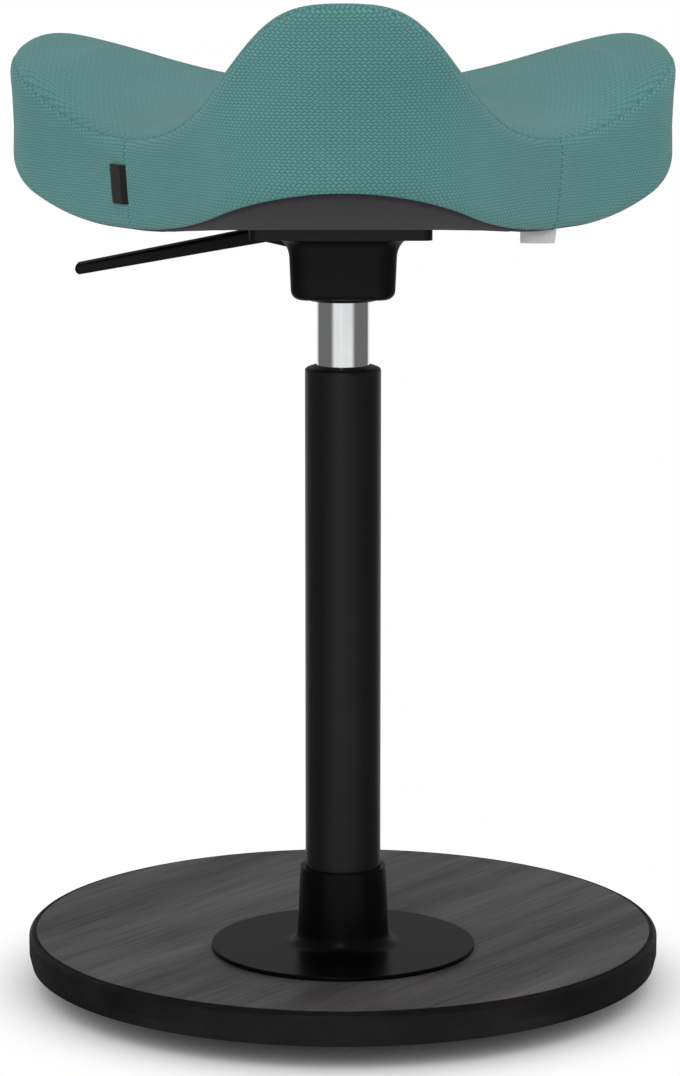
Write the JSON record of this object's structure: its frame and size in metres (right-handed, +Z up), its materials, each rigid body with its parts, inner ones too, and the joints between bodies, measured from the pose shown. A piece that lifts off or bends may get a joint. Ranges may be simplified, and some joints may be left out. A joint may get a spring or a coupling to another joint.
{
  "type": "saddle stool",
  "caption": "Height-adjustable saddle stool with a three-lobed upholstered seat, a gas lift, a release lever and a tilting round wooden foot.",
  "frame": {"origin": "on the floor at the middle of the round foot's flat pad", "axes": "+Z up; -Y towards the pommel, where the sitter faces; +X to the right in the picture; the column stands 56 mm ahead of the origin"},
  "size_m": [0.4412, 0.4856, 0.6731],
  "materials": {
    "stained_wood": "dark stained wood, satin lacquer",
    "rubber": "matt rubber",
    "black_steel": "fine textured black powder coat",
    "zinc_steel": "zinc plated",
    "bearing_steel": "ground steel",
    "chrome_tube": "polished chrome",
    "black_plastic": "moulded black plastic",
    "ply": "moulded plywood",
    "foam": "cold-cured foam",
    "knit": "teal knitted upholstery with a herringbone relief",
    "grey_cloth": "charcoal underside cloth",
    "black_ribbon": "black woven ribbon, bare",
    "white_ribbon": "white satin ribbon, bare"
  },
  "bodies": {
    "base": {"foot_disc": "stained_wood", "floor_pad": "rubber", "column_foot": "black_steel", "foot_bolts": "zinc_steel", "foot_washers": "zinc_steel", "column_tube": "black_steel", "guide_bush": "black_plastic", "tube_end": "zinc_steel", "lower_race": "bearing_steel", "bearing_rollers": "bearing_steel", "roller_cage": "black_plastic"},
    "spindle": {"piston_rod": "bearing_steel", "piston": "black_plastic", "piston_ring": "rubber", "upper_race": "bearing_steel", "bump_stop": "rubber", "rod_clip": "zinc_steel"},
    "seat": {"pressure_tube": "chrome_tube", "rod_guide": "black_plastic", "rod_seal": "rubber", "valve_body": "zinc_steel", "taper_socket": "black_steel", "lever_pivot": "zinc_steel", "seat_carrier": "black_steel", "mechanism_cover": "black_plastic", "seat_screws": "zinc_steel", "tee_nuts": "zinc_steel", "under_cover": "grey_cloth", "seat_shell": "ply", "foam_cushion": "foam", "top_panel": "knit", "front_band": "knit", "right_band": "knit", "left_band": "knit", "side_tag": "black_ribbon", "care_label": "white_ribbon"},
    "lever": {"height_lever": "black_plastic"},
    "valve_pin": {"valve_pin": "zinc_steel"}
  },
  "joints": [
    {"name": "seat_swivel", "type": "hinge", "parent": "base", "child": "spindle", "pos_m": [0, -0.056, 0.052], "axis": [0, 0, 1], "continuous": true},
    {"name": "height_lift", "type": "slide", "parent": "spindle", "child": "seat", "axis": [0, 0, 1], "range_m": [0, 0.26]},
    {"name": "lever_pull", "type": "hinge", "parent": "seat", "child": "lever", "pos_m": [-0.03, -0.056, 0.5136], "axis": [0, 1, 0], "range_deg": [0, 5], "stiffness_Nm_per_rad": 2, "springref_deg": -4.01},
    {"name": "valve_press", "type": "slide", "parent": "seat", "child": "valve_pin", "axis": [0, 0, -1], "range_m": [0, 0.003]}
  ],
  "couplings": [
    {"joint": "valve_press", "follows": "lever_pull", "m_per_rad": 0.0335}
  ]
}
